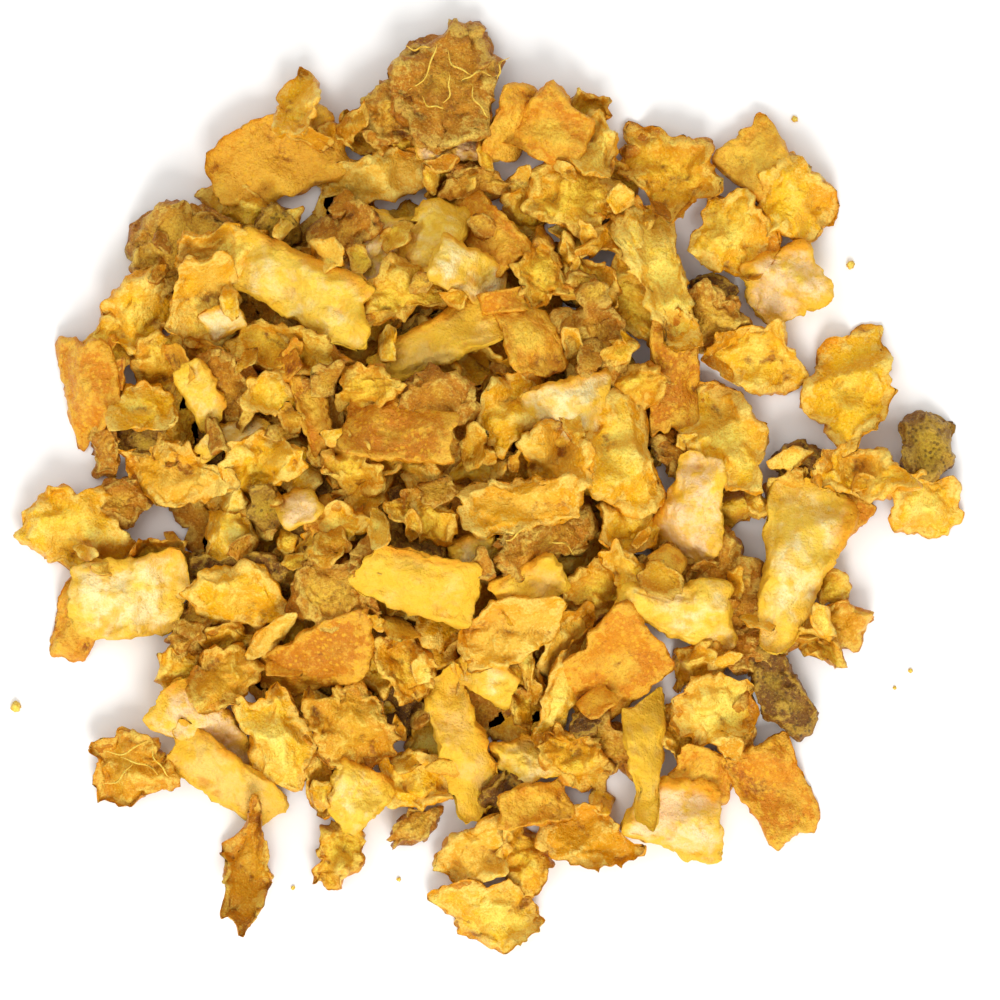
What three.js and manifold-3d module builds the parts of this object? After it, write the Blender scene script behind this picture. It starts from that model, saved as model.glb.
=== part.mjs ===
// A heap of dried orange peel, cut small for tea: chips of rind and pith, golden and amber flesh of the peel
// and brown pulp, piled in a low mound that thins out to single chips at its foot.
// Millimetres, +Z up. The heap stands on z = 0, and the middle of its outline is at x = y = 0.
import * as THREE from "three";
import { mergeVertices } from "three/addons/utils/BufferGeometryUtils.js";
import Module from "manifold-3d";

// Driving dimensions of the heap
const CORE_MIDDLE = [-5.5, 0]; // the core stands for the chips that nobody sees, under the ones on show
const CORE_REACH = 17.4;
const CORE_PINCH = 2; // how much nearer than that its left and right feet are, and how much farther the others
const CORE_LEAN = 0.8; // how much farther it reaches to the back than to the front
const CORE_HEIGHT = 5.8;
const CORE_SIDES = 24;
const CORE_RINGS = [0.35, 0.62, 0.84, 1]; // how far out each ring of its facets lies, as a share of its reach

// How chips come to rest
const FIELD_SIDE = 76; // side of the square over which the height of the pile is kept
const FIELD_CELL = 0.5;
const STEEPEST = 0.6; // slope of the steepest chip
const ROCKING = 0.25; // how far chance tips a chip, as a slope
const BEDDING = 0.7; // 0: a chip stops at the first touch, 1: it sinks to the mean height under it
const GRIP = 0.6; // how far it then still settles into what carries it
const SEED = 58;

// Where the corners of a cut chip lie round it, in degrees
const BLOCK = [45, 135, 225, 315];
const WEDGE = [-18, 18, 135, 225]; // its blunt tip is at 0

// The six sorts of chip: thickness, how far the corners curl up, how many sides of the upper face are cut off
// at a slant, the usual cut, which is torn where none is given, and whether it is a craggy lump
const RIND = { name: "rind", thick: 1.9, curl: 0.6, slants: 1, cut: BLOCK, lump: false };
const PITH = { name: "pith", thick: 3, curl: 0.3, slants: 3, cut: BLOCK, lump: false };
const GOLD = { name: "gold", thick: 2.2, curl: 0.9, slants: 2, cut: null, lump: false };
const AMBER = { name: "amber", thick: 2, curl: 1, slants: 2, cut: null, lump: false };
const PULP = { name: "pulp", thick: 2.8, curl: 0.3, slants: 0, cut: null, lump: true };
const DARK = { name: "dark", thick: 2, curl: 0.4, slants: 0, cut: null, lump: true };
const DISH = 0.4; // how far the middle of a chip sinks, as a share of its curl

// The chips on show, in the order in which they were laid, as
// [middle x, middle y, length, width, turn of the length from +X in degrees, sort, and the cut if unusual]
// The sizes are those that the photo shows. A chip is larger by the share that its neighbours hide.
const FOOT_HIDDEN = 0.22;
const BODY_HIDDEN = 0.16;
const CROWN_HIDDEN = 0.06;
const FOOT_CHIPS = [
  [-9.6, 24.6, 3.2, 2.2, -30, AMBER], [-17.6, 19.2, 5.8, 2.8, -8, AMBER], [-6.4, 23.4, 4.6, 2.6, 20, AMBER],
  [-3, 21.6, 4.2, 1.8, 40, AMBER], [-1.2, 21, 4.6, 2.2, 10, PULP], [6.4, 26.2, 3, 1.8, -10, AMBER],
  [2.2, 19.6, 4.4, 3, 50, AMBER], [8.2, 20.2, 3.8, 2.4, 80, AMBER], [6, 17.4, 3.2, 2.4, 0, GOLD],
  [9, 18, 5.6, 2, 30, AMBER], [14.8, 13.6, 3.4, 2.2, 0, DARK], [13.2, 2, 3.6, 2.2, -40, PULP],
  [21, 1.6, 3, 2.2, 0, DARK], [-21.8, 4.6, 5, 2.8, 80, AMBER], [-25.2, 3.4, 4.6, 2.6, -20, DARK],
  [-27.2, 2.8, 3.8, 2, 90, PULP], [-26.2, -1.2, 4, 2.4, 0, PULP], [-21.2, -10, 4.2, 2.8, 75, PULP],
  [-21.8, -13.8, 4.2, 3.2, -80, AMBER], [-18.8, -11, 3.8, 2.6, 20, AMBER], [-12.1, -21, 3.2, 1.8, -80, AMBER],
  [-5.6, -23.7, 3.6, 2, 30, PULP], [18.2, -11.2, 4.2, 3.4, 0, PULP], [2, -14.4, 6, 2.8, -70, AMBER],
  [8.2, -18.2, 5, 3, -50, PULP], [2.4, -19.2, 4.6, 3, 15, PITH], [0.4, -22.3, 3.8, 2.4, 80, DARK],
  [2, -26, 5, 3.2, -80, AMBER], [12.8, -17.6, 3.8, 2.4, -70, AMBER], [17, -16.8, 3.4, 1.8, 88, PULP],
  [16.8, -1.4, 3.6, 2.4, 0, AMBER], [23.4, -7.2, 2.4, 2, 0, AMBER], [24.6, -2.2, 2.8, 2, 40, RIND],
  [-7.1, 26.2, 4.8, 3.2, 20, PULP], [-2.9, 23.6, 4.8, 2.2, -5, PITH], [-10, 11, 6.4, 2.8, 15, AMBER],
  [9.4, 12.6, 6.4, 3.4, -66, AMBER], [11.8, -5.7, 4.4, 2.8, -15, PULP],
];
const BODY_CHIPS = [
  [-3.5, 28.3, 8.2, 7.2, 60, PULP], [1, 25.2, 4.2, 3.8, 80, RIND], [-22, 16.8, 7.6, 5.2, 25, PULP],
  [-26.9, 9.8, 5, 3.6, 80, AMBER], [-24.9, 11.8, 5, 4.2, 60, GOLD], [-28.6, 6.7, 5.8, 3.4, -78, RIND],
  [-23.4, 8.6, 5.2, 3.4, 70, AMBER], [-24.6, 5.4, 5, 3, -10, GOLD], [-15.4, 17.9, 3.2, 2.6, 90, DARK],
  [-8.2, 16, 5, 3.8, 60, PITH], [-6.4, 13.2, 6.6, 4, 25, AMBER], [-19.6, 15.8, 5.6, 3.8, 35, GOLD],
  [-20.2, 12.6, 5.8, 5, 80, GOLD], [-14.6, 9.6, 7.4, 3.6, -15, AMBER], [-19.4, 8.7, 5.8, 1.6, -20, RIND],
  [-18.8, 6.8, 5, 3.8, -50, PULP], [-15.6, 6.4, 3.6, 3, 0, GOLD], [-9.8, 1.1, 4, 3, -20, AMBER],
  [5.6, 20.6, 5.8, 5, 30, AMBER], [-0.2, 17.4, 5.6, 3.2, -55, RIND], [6.2, 14.4, 5, 3.4, -55, AMBER],
  [12.3, 22, 6.8, 5.2, -10, AMBER], [18.6, 22.9, 5.4, 3.6, -50, RIND], [20.6, 19.8, 6.2, 4.6, -60, GOLD],
  [20.2, 14.3, 6, 4.2, 15, PITH], [14.8, 11.6, 4.8, 4, -30, PULP], [11.9, 7.2, 8, 3.2, 88, RIND],
  [6.6, 10, 5.6, 4.8, -50, PULP], [9.4, 7, 4.2, 2.8, 0, AMBER], [-1.4, -5, 4.6, 2.8, 15, PITH],
  [24.7, 7.1, 9, 5.6, 62, GOLD], [25.4, 1, 7, 3, -8, GOLD], [29.9, 2.8, 4.4, 4, 40, DARK],
  [30, -1.3, 5, 4, -25, GOLD], [-29.3, -3, 7.2, 6, -30, GOLD], [-28.9, -8.8, 5.2, 3, 60, RIND],
  [-24.4, -5.4, 6, 2.4, 10, AMBER], [-18.5, -3, 5.8, 3.6, 80, GOLD], [-11.2, -3, 5.2, 3, 10, GOLD],
  [-18.4, -6.2, 6.8, 2.4, 3, DARK], [-17.8, -7.8, 6.4, 4.4, -10, GOLD], [-11.2, -7.6, 6, 4.6, -20, PULP],
  [-8.4, -5, 4, 2.6, 80, PULP], [-5, -2.2, 4.8, 2.8, -30, AMBER], [-20.6, -17, 7, 3.8, -25, PITH],
  [-25.2, -19.3, 6.4, 4.8, -10, AMBER], [-5.8, -20.8, 5.2, 4, -10, GOLD], [-9.8, -21.4, 4.6, 3.6, -30, PITH],
  [-17.2, -26.8, 7, 3.2, 82, AMBER], [-10.9, -26, 6, 3.2, 62, AMBER], [-1.4, -25.7, 5.2, 4.6, 80, GOLD],
  [0, -30, 6.8, 4, -10, GOLD], [3.8, -4, 7, 3.6, 25, PULP], [2.4, -7, 6.2, 2.6, 30, PITH],
  [7, -7.4, 5, 3.6, 40, AMBER], [9.4, -6.4, 4.6, 2.6, -55, GOLD], [5, -11.4, 5.8, 3.6, 70, GOLD],
  [9.4, -2.2, 5, 4, 80, GOLD], [16.4, -6.8, 6.2, 4, -75, PULP], [20.6, -0.6, 3.8, 2.8, 80, AMBER],
  [23.7, -9.8, 5.2, 3, 10, AMBER], [22.6, -11.2, 3.8, 1.8, -40, AMBER], [19.8, -14.4, 7.2, 3.4, -68, DARK],
  [14, -12.8, 4.8, 3.2, 10, AMBER], [4.6, -14.6, 6.8, 2.2, 65, GOLD], [5.4, -18.8, 5.2, 3.4, -40, AMBER],
  [6.2, -24.4, 6, 4.2, -12, GOLD], [3.2, -22.2, 4, 3.2, 10, RIND], [14.8, -20, 4, 3.2, -30, RIND],
  [12.8, -23.4, 6, 4.8, -15, PITH], [19.2, -21, 7, 4.4, -62, RIND], [-0.6, -13.6, 3.8, 2.8, -30, PITH],
];
const CROWN_CHIPS = [
  [-15.1, 23.2, 8.6, 6.8, 20, RIND], [-13.9, 26.2, 4.6, 3.4, 80, GOLD], [-8.5, 21.4, 10, 3.8, 22, GOLD],
  [-11.2, 17.2, 6.2, 3.2, 28, PULP], [-4.2, 17.2, 5.8, 5, 80, PITH], [-2, 14.8, 5.4, 3.8, -30, PITH],
  [-13.7, 13.6, 10.2, 5.2, -25, PITH], [-18.9, 11.4, 2.8, 2.2, 20, PITH], [-3.7, 9.8, 9.8, 3.6, 25, PITH],
  [0.5, 5.2, 6.4, 4.6, 60, GOLD], [-4, 6.2, 5.6, 3.8, -20, PULP], [-7.2, 3.9, 8.2, 4, -15, RIND],
  [-12.7, 5.1, 5.4, 2.4, -74, RIND], [-20.4, 6.4, 4.8, 2.4, -65, PITH], [-9, 6.8, 5.2, 2.8, 10, AMBER],
  [-22, 0.9, 8, 4.6, -5, GOLD], [-18.4, 3.4, 4.6, 2, 25, PITH], [-16.2, 1.6, 5.8, 3.6, 10, GOLD],
  [6.6, 23.6, 5, 3.8, 60, GOLD], [3.6, 24.9, 6.2, 4.8, 60, RIND], [3.1, 14.7, 5, 3.4, -75, AMBER],
  [11.5, 14.4, 8.8, 6.6, -70, GOLD, WEDGE], [16.4, 17.4, 7.2, 5.4, -75, GOLD], [18.6, 9.2, 6.8, 5.2, -15, GOLD],
  [16.2, 3.2, 8.4, 4.8, -55, GOLD], [5.2, 5.4, 5.8, 4.6, 10, PITH], [2.5, 9.9, 5.8, 3.4, -75, RIND],
  [8.8, 2, 9.6, 4.8, -78, GOLD], [4.4, 1.8, 5.6, 3.6, -30, GOLD], [-15.8, -1.6, 3, 2.6, 0, DARK],
  [-13.6, -1.5, 3, 2.2, 30, PITH], [-4.6, -7, 8.2, 4.8, -15, PITH], [-15.6, -10.4, 3.8, 1.5, 40, GOLD],
  [-12.8, -12, 7.6, 5.2, 25, RIND], [-15, -17.6, 8.6, 5.2, -65, GOLD], [-10, -16.6, 7.8, 5.2, -60, AMBER],
  [-19, -13.4, 4.8, 4.2, 60, AMBER], [-6.2, -12.6, 5, 3.8, -60, AMBER], [-18.8, -20.4, 9.2, 3.8, -35, PITH],
  [-25.7, -7.9, 7.8, 7.2, 6, PITH], [-2.4, -17.8, 9.8, 3.6, -72, PITH], [0.4, -10.4, 8.2, 4.2, 25, GOLD],
  [1.8, -1.2, 8.8, 4, 5, GOLD], [13.8, -1.8, 7.2, 4.8, 80, PITH], [12.6, -9.2, 7.2, 4.8, 170, PITH, WEDGE],
  [21.2, -4.8, 11.2, 5.8, -105, PITH, WEDGE], [10.4, -18.4, 7.2, 3.4, -92, PITH, WEDGE],
  [8.6, -12.8, 7.4, 6.2, 30, RIND],
  [15, -15.6, 6.8, 5, 40, GOLD], [6.1, -16.6, 2.4, 1.7, 20, DARK],
];

// A seeded row of chance numbers from 0 to 1.
function dice(seed) {
  let state = (seed * 7919 + 17) >>> 0;
  return () => {
    state = (Math.imul(state, 1664525) + 1013904223) >>> 0;
    return state / 2 ** 32;
  };
}

// Gives a chip its corners, its thickness and its tilt by chance, always the same for the same number.
function cutChip([x, y, seenLength, seenWidth, turn, sort, cut = sort.cut], number, hidden) {
  const length = seenLength * (1 + hidden);
  const width = seenWidth * (1 + hidden);
  const draw = dice(SEED + number);
  draw(); // the first number of a row depends too plainly on its seed
  const torn = 5 + Math.floor(2 * draw());
  const places = cut ?? Array.from({ length: torn }, (_, i) => (360 * i) / torn);
  const corners = places.map((place) => {
    const angle = THREE.MathUtils.degToRad(place + 40 * (draw() - 0.5));
    const reach = (cut ? 1.12 : 0.88) + 0.3 * draw();
    const lift = sort.curl * (1.3 * draw() - 0.3);
    return { angle, reach, lift };
  });
  const thick = Math.min(sort.thick * (0.8 + 0.4 * draw()), 0.75 * width);
  const tip = [ROCKING * (2 * draw() - 1), ROCKING * (2 * draw() - 1)];
  const slants = [];
  for (let i = 0; i < sort.slants; i++) {
    const angle = ((i + draw()) * 2 * Math.PI) / sort.slants;
    const slope = 0.25 + 0.4 * draw();
    const start = 0.25 * width * draw();
    slants.push({ angle, slope, start });
  }
  return { x, y, length, width, turn: THREE.MathUtils.degToRad(turn), sort, corners, thick, tip, slants, draw };
}

// How much is cut off the upper face of a chip at a place.
function slantAt(chip, along, across) {
  const cuts = chip.slants.map(
    ({ angle, slope, start }) => slope * (along * Math.cos(angle) + across * Math.sin(angle) - start),
  );
  return Math.min(0.6 * chip.thick, Math.max(0, ...cuts));
}

// The core reaches out unevenly, and falls away to nothing from its middle.
function coreReach(angle) {
  return CORE_REACH - CORE_PINCH * Math.cos(2 * angle) + CORE_LEAN * Math.sin(angle);
}

function coreHeight(x, y) {
  const dx = x - CORE_MIDDLE[0];
  const dy = y - CORE_MIDDLE[1];
  const share = Math.hypot(dx, dy) / coreReach(Math.atan2(dy, dx));
  return Math.max(0, CORE_HEIGHT * (1 - share * share));
}

// The pile, as its height over each cell of a square field. It starts as the bare core.
const cells = Math.round(FIELD_SIDE / FIELD_CELL);
const cellAt = (place) => Math.floor((place + FIELD_SIDE / 2) / FIELD_CELL);
const placeOf = (cell) => (cell + 0.5) * FIELD_CELL - FIELD_SIDE / 2;
const field = Float64Array.from({ length: cells * cells }, (_, cell) =>
  coreHeight(placeOf(Math.floor(cell / cells)), placeOf(cell % cells)),
);

// Calls visit with every cell that lies under a chip, and its place along and across the chip.
function underChip(chip, visit) {
  const cos = Math.cos(chip.turn);
  const sin = Math.sin(chip.turn);
  const reach = chip.length / 2;
  for (let i = cellAt(chip.x - reach); i <= cellAt(chip.x + reach); i++) {
    for (let j = cellAt(chip.y - reach); j <= cellAt(chip.y + reach); j++) {
      const dx = placeOf(i) - chip.x;
      const dy = placeOf(j) - chip.y;
      const along = dx * cos + dy * sin;
      const across = dy * cos - dx * sin;
      if ((2 * along / chip.length) ** 2 + (2 * across / chip.width) ** 2 < 1) {
        visit(i * cells + j, along, across);
      }
    }
  }
}

// Lets a chip down on the pile: it takes the slope of what is under it, and beds in between the bumps.
function layChip(chip) {
  let alongHeight = 0;
  let alongSquare = 1e-9;
  let acrossHeight = 0;
  let acrossSquare = 1e-9;
  underChip(chip, (cell, along, across) => {
    alongHeight += along * field[cell];
    alongSquare += along * along;
    acrossHeight += across * field[cell];
    acrossSquare += across * across;
  });
  const limit = (slope) => Math.max(-STEEPEST, Math.min(STEEPEST, slope));
  chip.rise = limit(alongHeight / alongSquare + chip.tip[0]);
  chip.roll = limit(acrossHeight / acrossSquare + chip.tip[1]);
  const planeAt = (along, across) => chip.rise * along + chip.roll * across;
  let highest = -Infinity;
  let sum = 0;
  let count = 0;
  let heaped = false;
  underChip(chip, (cell, along, across) => {
    const needed = field[cell] - planeAt(along, across);
    heaped ||= field[cell] > 0;
    highest = Math.max(highest, needed);
    sum += needed;
    count += 1;
  });
  chip.level = BEDDING * (sum / count) + (1 - BEDDING) * highest;
  if (heaped) chip.level -= GRIP;
  underChip(chip, (cell, along, across) => {
    field[cell] = Math.max(field[cell], chip.level + planeAt(along, across) + chip.thick);
  });
}

// Moves each corner of a shape by a rule, in the frame of a chip, and sets it down where the chip lies.
function setDown(geometry, chip, place) {
  const cos = Math.cos(chip.turn);
  const sin = Math.sin(chip.turn);
  geometry.deleteAttribute("normal");
  geometry.deleteAttribute("uv");
  const merged = mergeVertices(geometry, 1e-4);
  const at = merged.getAttribute("position");
  for (let i = 0; i < at.count; i++) {
    const [along, across, up] = place(at.getX(i), at.getY(i), at.getZ(i));
    const z = chip.level + chip.rise * along + chip.roll * across + up;
    at.setXYZ(i, chip.x + along * cos - across * sin, chip.y + along * sin + across * cos, Math.max(0, z));
  }
  return merged;
}

// A flat chip: a prism on an uneven outline, with slanted cuts, curled corners and a dished middle.
function flatChip(chip) {
  const sides = chip.corners.length;
  const prism = new THREE.CylinderGeometry(1, 1, 1, sides, 1);
  return setDown(prism, chip, (x, y, z) => {
    const upper = y > 0;
    if (Math.hypot(x, z) < 0.5) return [0, 0, upper ? chip.thick - DISH * chip.sort.curl : 0];
    const turned = (Math.atan2(x, z) + 2 * Math.PI) % (2 * Math.PI);
    const corner = chip.corners[Math.round((turned / (2 * Math.PI)) * sides) % sides];
    const inset = upper ? 0.94 : 1;
    const along = 0.5 * chip.length * corner.reach * inset * Math.cos(corner.angle);
    const across = 0.5 * chip.width * corner.reach * inset * Math.sin(corner.angle);
    return [along, across, corner.lift + (upper ? chip.thick - slantAt(chip, along, across) : 0)];
  });
}

// A craggy lump of pulp: a ball of few sides with every corner pushed in or out.
function lumpChip(chip) {
  const ball = new THREE.IcosahedronGeometry(1, 0);
  const push = Array.from({ length: 12 }, () => 0.85 + 0.35 * chip.draw());
  let corner = 0;
  return setDown(ball, chip, (x, y, z) => {
    const out = push[corner++ % push.length];
    return [0.5 * chip.length * x * out, 0.5 * chip.width * y * out, chip.thick * (0.5 + 0.5 * z * out)];
  });
}

// The core's solid: rings of corners from its middle to its foot, closed by a flat underside.
function coreMound() {
  const positions = [CORE_MIDDLE[0], CORE_MIDDLE[1], CORE_HEIGHT, CORE_MIDDLE[0], CORE_MIDDLE[1], 0];
  const index = [];
  CORE_RINGS.forEach((share, ring) => {
    for (let i = 0; i < CORE_SIDES; i++) {
      const angle = (2 * Math.PI * i) / CORE_SIDES;
      const x = CORE_MIDDLE[0] + share * coreReach(angle) * Math.cos(angle);
      const y = CORE_MIDDLE[1] + share * coreReach(angle) * Math.sin(angle);
      positions.push(x, y, CORE_HEIGHT * (1 - share * share));
      const here = 2 + ring * CORE_SIDES + i;
      const next = 2 + ring * CORE_SIDES + ((i + 1) % CORE_SIDES);
      if (ring === 0) index.push(0, here, next);
      else index.push(here - CORE_SIDES, here, next, here - CORE_SIDES, next, next - CORE_SIDES);
      if (ring === CORE_RINGS.length - 1) index.push(1, next, here);
    }
  });
  const mound = new THREE.BufferGeometry();
  mound.setAttribute("position", new THREE.Float32BufferAttribute(positions, 3));
  return mound.setIndex(index);
}

const wasm = await Module();
wasm.setup();

function solid(geometry) {
  const vertProperties = Float32Array.from(geometry.getAttribute("position").array);
  const made = new wasm.Manifold(
    new wasm.Mesh({ numProp: 3, vertProperties, triVerts: Uint32Array.from(geometry.index.array) }),
  );
  if (made.volume() > 0) return made;
  throw new Error("a chip is inside out");
}

// Joins everything to one solid. Hollows that the joining seals are filled, and loose scraps are left out.
function fuse(geometries) {
  const joined = geometries.map(solid).reduce((sum, next) => sum.add(next));
  const bodies = joined.simplify(0.02).decompose();
  bodies.sort((a, b) => b.volume() - a.volume());
  return bodies[0];
}

function geometryOf(body) {
  const { numProp, vertProperties, triVerts } = body.getMesh();
  const positions = new Float32Array((vertProperties.length / numProp) * 3);
  for (let i = 0; i < positions.length / 3; i++) {
    positions.set(vertProperties.subarray(i * numProp, i * numProp + 3), i * 3);
  }
  const geometry = new THREE.BufferGeometry();
  geometry.setAttribute("position", new THREE.BufferAttribute(positions, 3));
  geometry.setIndex(new THREE.BufferAttribute(triVerts, 1));
  geometry.computeBoundingBox();
  const middle = geometry.boundingBox.getCenter(new THREE.Vector3());
  return geometry.translate(-middle.x, -middle.y, 0);
}

const layers = [[FOOT_CHIPS, FOOT_HIDDEN], [BODY_CHIPS, BODY_HIDDEN], [CROWN_CHIPS, CROWN_HIDDEN]];
const laid = layers.flatMap(([rows, hidden], layer) => rows.map((row, i) => cutChip(row, 100 * layer + i, hidden)));
laid.forEach(layChip);
const chips = laid.map((chip) => (chip.sort.lump ? lumpChip(chip) : flatChip(chip)));

const peel = new THREE.MeshStandardMaterial({ color: "#dba83c", roughness: 0.55, metalness: 0 });
const heap = new THREE.Mesh(geometryOf(fuse([coreMound(), ...chips])), peel);
heap.name = "peel_heap";
const part = new THREE.Group();
part.add(heap);

export default part;
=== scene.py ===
# %% [markdown]
# # A heap of dried orange peel
#
# Orange peel is cut small and dried for tea. What lies in the heap is not one thing: there are flat chips
# with the orange skin still on them, thick cream chips of pith, waxy golden and amber chips where the flesh
# of the peel has dried clear, and brown crumbs of pulp. No two are alike, but all of one sort are made by
# one rule.
#
# The heap could be one carved lump, but then every chip would end where its neighbour starts, and no light
# would fall in between. So each chip is a closed shape of its own, laid on the ones before it.

# %% Load the solids
import math

import bmesh
import bpy
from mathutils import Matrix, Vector, noise


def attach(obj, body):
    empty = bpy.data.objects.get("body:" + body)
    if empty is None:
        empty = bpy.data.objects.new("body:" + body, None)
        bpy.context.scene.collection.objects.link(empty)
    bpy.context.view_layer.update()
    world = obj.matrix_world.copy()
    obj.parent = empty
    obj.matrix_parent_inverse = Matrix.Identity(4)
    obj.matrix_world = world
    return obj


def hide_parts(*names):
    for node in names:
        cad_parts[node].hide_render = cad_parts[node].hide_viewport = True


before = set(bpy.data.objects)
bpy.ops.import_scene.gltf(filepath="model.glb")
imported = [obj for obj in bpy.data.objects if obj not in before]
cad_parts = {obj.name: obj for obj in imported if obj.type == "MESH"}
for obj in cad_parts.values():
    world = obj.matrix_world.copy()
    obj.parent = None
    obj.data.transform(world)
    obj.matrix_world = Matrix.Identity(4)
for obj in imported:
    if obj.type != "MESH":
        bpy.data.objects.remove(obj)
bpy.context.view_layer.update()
MM = 0.001

# %% [markdown]
# ## The sorts of chip
#
# A sort is a handful of sizes in millimetres. Thickness and curl decide the big shape. A waxy chip has
# dried thin and folded like paper, so its folds are deep, its rim is thin and its outline bitten. Pith
# stays thick and keeps the slanted faces that the knife left. Pulp is all crags, with no flat face at all.
# Four values are plain numbers: slants counts the slanted faces, round says by how many degrees a corner is
# worn round, bite how much is missing from the outline, and thin how much of its thickness a chip loses
# towards its rim.

# %% Sizes of the sorts
BLOCK = (45, 135, 225, 315)  # where the corners of a cut chip lie round it, in degrees
WEDGE = (-18, 18, 135, 225)  # its blunt tip is at 0
SORTS = {
    "rind": dict(thick=1.9, curl=0.6, bend=0.6, slants=1, cut=BLOCK, round=8, bite=1.1, thin=0.35,
                 fold=1.0, fold_size=2.6, wrinkle=0.22, wrinkle_size=1.2,
                 grit=0.14, grit_size=0.34, beads=0.0, crag=0.2),
    "pith": dict(thick=3.0, curl=0.3, bend=0.3, slants=3, cut=BLOCK, round=8, bite=0.9, thin=0.2,
                 fold=0.9, fold_size=2.2, wrinkle=0.3, wrinkle_size=1.2,
                 grit=0.12, grit_size=0.32, beads=0.14, crag=0.26),
    "gold": dict(thick=2.2, curl=0.9, bend=1.2, slants=2, cut=None, round=6, bite=1.2, thin=0.5,
                 fold=1.3, fold_size=2.1, wrinkle=0.38, wrinkle_size=1.3,
                 grit=0.12, grit_size=0.34, beads=0.22, crag=0.45),
    "amber": dict(thick=2.0, curl=1.0, bend=1.3, slants=2, cut=None, round=6, bite=1.5, thin=0.5,
                  fold=1.3, fold_size=1.8, wrinkle=0.42, wrinkle_size=1.1,
                  grit=0.12, grit_size=0.32, beads=0.26, crag=0.55),
    "pulp": dict(thick=2.8, curl=0.3, bend=0.2, slants=0, cut=None, round=16, bite=1.3, thin=0.3,
                 fold=0.8, fold_size=1.7, wrinkle=0.36, wrinkle_size=0.8,
                 grit=0.16, grit_size=0.3, beads=0.12, crag=0.7),
    "dark": dict(thick=2.0, curl=0.4, bend=0.3, slants=0, cut=None, round=8, bite=1.1, thin=0.3,
                 fold=0.6, fold_size=1.8, wrinkle=0.28, wrinkle_size=0.9,
                 grit=0.12, grit_size=0.3, beads=0.0, crag=0.4),
}
print(len(SORTS), "sorts of chip")

# %% [markdown]
# ## The chips on show
#
# Where each chip lies was read from the photo with a ruler, and is written here in millimetres: the middle,
# the length and width that show, how far the length is turned from the X axis, and the sort. Then follows
# the tint, from 0 for the palest of its sort to 1 for the deepest, a little less than 0 for a bleached
# skin, and the cut where it isn't the usual one. The rows are in the order of laying, so a chip lies on
# those above it.

# %% Chips at the foot of the heap
FOOT = [
    (-9.6, 24.6, 3.2, 2.2, -30, "amber", .3), (-17.6, 19.2, 5.8, 2.8, -8, "amber", .5),
    (-6.4, 23.4, 4.6, 2.6, 20, "amber", .4), (-3, 21.6, 4.2, 1.8, 40, "amber", .4),
    (-1.2, 21, 4.6, 2.2, 10, "pulp", .5), (6.4, 26.2, 3, 1.8, -10, "amber", .3),
    (2.2, 19.6, 4.4, 3, 50, "amber", .6), (8.2, 20.2, 3.8, 2.4, 80, "amber", .3),
    (6, 17.4, 3.2, 2.4, 0, "gold", .5), (9, 18, 5.6, 2, 30, "amber", .7),
    (14.8, 13.6, 3.4, 2.2, 0, "dark", .9), (13.2, 2, 3.6, 2.2, -40, "pulp", .7),
    (21, 1.6, 3, 2.2, 0, "dark", .9), (-21.8, 4.6, 5, 2.8, 80, "amber", .6),
    (-25.2, 3.4, 4.6, 2.6, -20, "dark", .6), (-27.2, 2.8, 3.8, 2, 90, "pulp", .7),
    (-26.2, -1.2, 4, 2.4, 0, "pulp", .6), (-21.2, -10, 4.2, 2.8, 75, "pulp", .6),
    (-21.8, -13.8, 4.2, 3.2, -80, "amber", .4), (-18.8, -11, 3.8, 2.6, 20, "amber", .5),
    (-12.1, -21, 3.2, 1.8, -80, "amber", .5), (-5.6, -23.7, 3.6, 2, 30, "pulp", .5),
    (18.2, -11.2, 4.2, 3.4, 0, "pulp", .8), (2, -14.4, 6, 2.8, -70, "amber", .4),
    (8.2, -18.2, 5, 3, -50, "pulp", .5), (2.4, -19.2, 4.6, 3, 15, "pith", .4),
    (0.4, -22.3, 3.8, 2.4, 80, "dark", .8), (2, -26, 5, 3.2, -80, "amber", .6),
    (12.8, -17.6, 3.8, 2.4, -70, "amber", .5), (17, -16.8, 3.4, 1.8, 88, "pulp", .5),
    (16.8, -1.4, 3.6, 2.4, 0, "amber", .4), (23.4, -7.2, 2.4, 2, 0, "amber", .3),
    (24.6, -2.2, 2.8, 2, 40, "rind", .6), (-7.1, 26.2, 4.8, 3.2, 20, "pulp", .5),
    (-2.9, 23.6, 4.8, 2.2, -5, "pith", 1.), (-10, 11, 6.4, 2.8, 15, "amber", .6),
    (9.4, 12.6, 6.4, 3.4, -66, "amber", .5), (11.8, -5.7, 4.4, 2.8, -15, "pulp", .5),
]
print(len(FOOT), "chips at the foot")

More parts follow.
